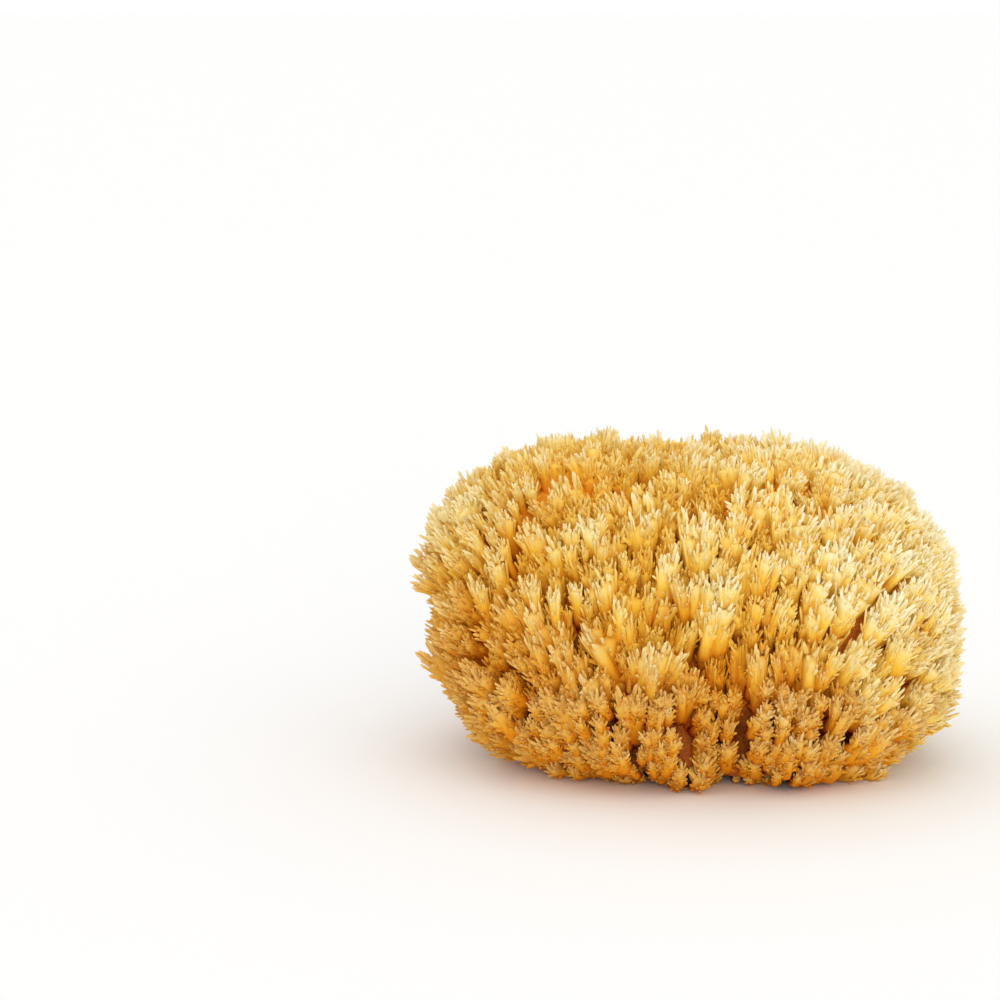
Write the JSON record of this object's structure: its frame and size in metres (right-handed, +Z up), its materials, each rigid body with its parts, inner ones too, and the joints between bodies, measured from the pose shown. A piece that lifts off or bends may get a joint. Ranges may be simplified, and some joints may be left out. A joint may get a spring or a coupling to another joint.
{
  "type": "sea sponge",
  "caption": "Rounded natural bath sponge covered in upright fibre tufts with furrows between them, resting on a flat cut base.",
  "frame": {"origin": "in the flat cut base, under the middle of the sponge's outline seen from above", "axes": "+X along the longest side, +Y towards the back, +Z up from the cut base through the highest tufts"},
  "size_m": [0.155, 0.112, 0.092],
  "materials": {
    "sponge_fibre": "matte"
  },
  "bodies": {
    "root": {"sponge": "sponge_fibre"}
  },
  "joints": []
}
